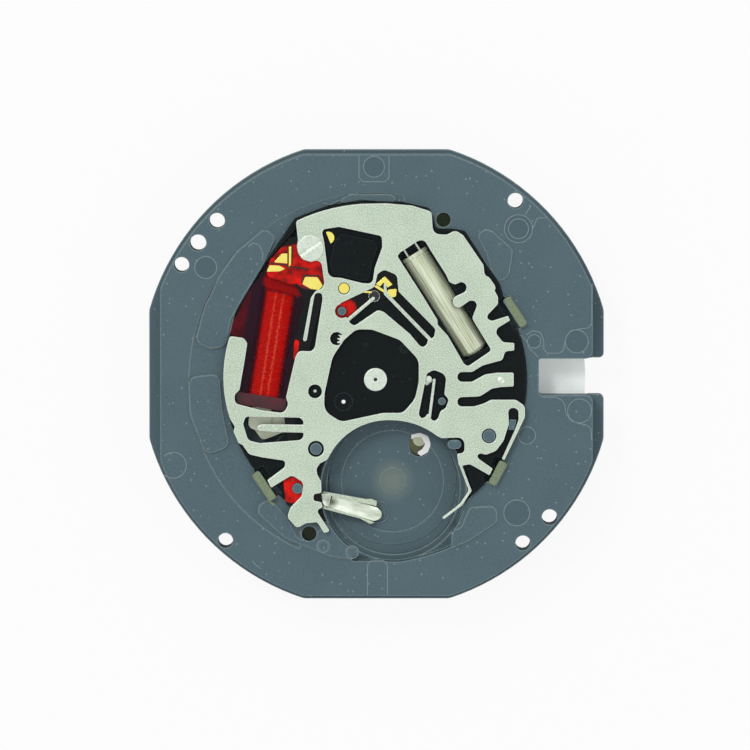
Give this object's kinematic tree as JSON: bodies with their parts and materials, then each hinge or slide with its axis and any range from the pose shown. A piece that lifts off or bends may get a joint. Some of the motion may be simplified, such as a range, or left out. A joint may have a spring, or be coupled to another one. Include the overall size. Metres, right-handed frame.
{
  "type": "quartz watch movement",
  "caption": "Round quartz movement with a stepped plastic plate, pressed steel cover, coil, crystal can, cell well, gear train and date disc.",
  "frame": {"origin": "on the axis of the hands, in the plane where the dial rests", "axes": "+Z away from the dial to the battery side, +X outwards along the winding stem"},
  "size_m": [0.0304, 0.0301, 0.0055],
  "materials": {
    "grey_plastic": "moulded, fine grain",
    "black_plastic": "moulded",
    "red_board": "lacquered",
    "red_film": "thin film",
    "red_wire": "enamelled wire",
    "gold": "plated",
    "cover_steel": "pressed, fine matte",
    "bright_steel": "turned",
    "soft_iron": "blanked",
    "magnet": "ground",
    "brass": "turned and cut",
    "can_metal": "drawn",
    "white_plastic": "printed disc",
    "clear_plastic": "moulded"
  },
  "bodies": {
    "plate": {"main_plate": "grey_plastic", "train_bridge": "black_plastic", "bearing_cap": "bright_steel", "circuit_board": "red_board", "ic_block": "black_plastic", "contact_pads": "gold", "coil_film": "red_film", "coil_core": "soft_iron", "coil_bobbin": "red_film", "coil_winding": "red_wire", "stator": "soft_iron", "quartz_can": "can_metal", "quartz_base": "can_metal", "quartz_leads": "bright_steel", "circuit_cover": "cover_steel", "cover_screw": "bright_steel", "negative_terminal": "bright_steel", "centre_tube": "brass", "centre_bridge": "brass", "hour_washer": "brass", "date_jumper": "bright_steel", "date_guard": "cover_steel", "guard_screws": "bright_steel", "lever_spring": "bright_steel"},
    "rotor": {"rotor_magnet": "magnet", "rotor_arbor": "bright_steel"},
    "fifth": {"fifth_wheel": "clear_plastic", "fifth_arbor": "bright_steel"},
    "fourth": {"fourth_wheel": "brass", "fourth_arbor": "bright_steel"},
    "third": {"third_wheel": "brass", "third_arbor": "bright_steel"},
    "centre": {"centre_wheel": "brass", "cannon_pinion": "bright_steel"},
    "minute": {"minute_wheel": "brass"},
    "hour": {"hour_wheel": "brass"},
    "setting": {"setting_wheel": "brass"},
    "idler": {"date_idler": "brass"},
    "date_drive": {"date_driving_wheel": "brass", "date_finger": "clear_plastic"},
    "calendar": {"date_disc": "white_plastic"},
    "clutch": {"clutch_wheel": "bright_steel"},
    "lever": {"setting_lever": "bright_steel"},
    "yoke": {"yoke": "bright_steel"},
    "reset": {"reset_lever": "bright_steel", "reset_pin": "bright_steel"},
    "corrector": {"corrector_wheel": "brass"}
  },
  "joints": [
    {"name": "rotor_spin", "type": "hinge", "parent": "plate", "child": "rotor", "pos_m": [-0.00403, -0.00078, 0.0022], "axis": [0, 0, 1], "continuous": true},
    {"name": "fifth_spin", "type": "hinge", "parent": "plate", "child": "fifth", "pos_m": [-0.00213, -0.00149, 0.0022], "axis": [0, 0, 1], "continuous": true},
    {"name": "fourth_spin", "type": "hinge", "parent": "plate", "child": "fourth", "pos_m": [0, 0, 0.0026], "axis": [0, 0, 1], "continuous": true},
    {"name": "third_spin", "type": "hinge", "parent": "plate", "child": "third", "pos_m": [-0.00063, 0.00231, 0.0022], "axis": [0, 0, 1], "continuous": true},
    {"name": "centre_spin", "type": "hinge", "parent": "plate", "child": "centre", "pos_m": [0, 0, 0.001], "axis": [0, 0, 1], "continuous": true},
    {"name": "minute_spin", "type": "hinge", "parent": "plate", "child": "minute", "pos_m": [0.00216, 0.00079, 0.0009], "axis": [0, 0, 1], "continuous": true},
    {"name": "hour_spin", "type": "hinge", "parent": "plate", "child": "hour", "pos_m": [0, 0, 0.0003], "axis": [0, 0, 1], "continuous": true},
    {"name": "setting_spin", "type": "hinge", "parent": "plate", "child": "setting", "pos_m": [0.00453, 0, 0.0009], "axis": [0, 0, 1], "continuous": true},
    {"name": "idler_spin", "type": "hinge", "parent": "plate", "child": "idler", "pos_m": [-0.00309, 0.00043, 0.0006], "axis": [0, 0, 1], "continuous": true},
    {"name": "date_drive_spin", "type": "hinge", "parent": "plate", "child": "date_drive", "pos_m": [-0.00713, 0.001, 0.0005], "axis": [0, 0, 1], "continuous": true},
    {"name": "calendar_spin", "type": "hinge", "parent": "plate", "child": "calendar", "pos_m": [0, 0, 0.0003], "axis": [0, 0, 1], "continuous": true, "deforming": ["date_jumper"]},
    {"name": "corrector_spin", "type": "hinge", "parent": "plate", "child": "corrector", "pos_m": [0.00808, -0.0036, 0.0004], "axis": [0, 0, 1], "continuous": true},
    {"name": "lever_swing", "type": "hinge", "parent": "plate", "child": "lever", "pos_m": [0.0089, 0.001, 0.0003], "axis": [0, 0, 1], "range_deg": [0, 22.9]},
    {"name": "yoke_swing", "type": "hinge", "parent": "plate", "child": "yoke", "pos_m": [0.007, 0.0039, 0.0009], "axis": [0, 0, 1], "range_deg": [-8.2, 0]},
    {"name": "clutch_slide", "type": "slide", "parent": "plate", "child": "clutch", "axis": [-1, 0, 0], "range_m": [0, 0.0005495]},
    {"name": "reset_swing", "type": "hinge", "parent": "plate", "child": "reset", "pos_m": [0.00443, -0.00145, 0.0024], "axis": [0, 0, 1], "range_deg": [0, 12]}
  ],
  "couplings": [
    {"joint": "fifth_spin", "follows": "rotor_spin", "ratio": -0.2},
    {"joint": "fourth_spin", "follows": "rotor_spin", "ratio": 0.033333},
    {"joint": "third_spin", "follows": "rotor_spin", "ratio": -0.0044444},
    {"joint": "centre_spin", "follows": "rotor_spin", "ratio": 0.00055556},
    {"joint": "minute_spin", "follows": "rotor_spin", "ratio": -0.00018519},
    {"joint": "hour_spin", "follows": "rotor_spin", "ratio": 0.000046296},
    {"joint": "setting_spin", "follows": "rotor_spin", "ratio": 0.00041667},
    {"joint": "idler_spin", "follows": "rotor_spin", "ratio": -0.000020576},
    {"joint": "date_drive_spin", "follows": "rotor_spin", "ratio": 0.000023148},
    {"joint": "lever_swing", "follows": "clutch_slide", "rad_per_m": 727.27},
    {"joint": "yoke_swing", "follows": "clutch_slide", "rad_per_m": -256.36},
    {"joint": "reset_swing", "follows": "clutch_slide", "rad_per_m": 378.18}
  ]
}
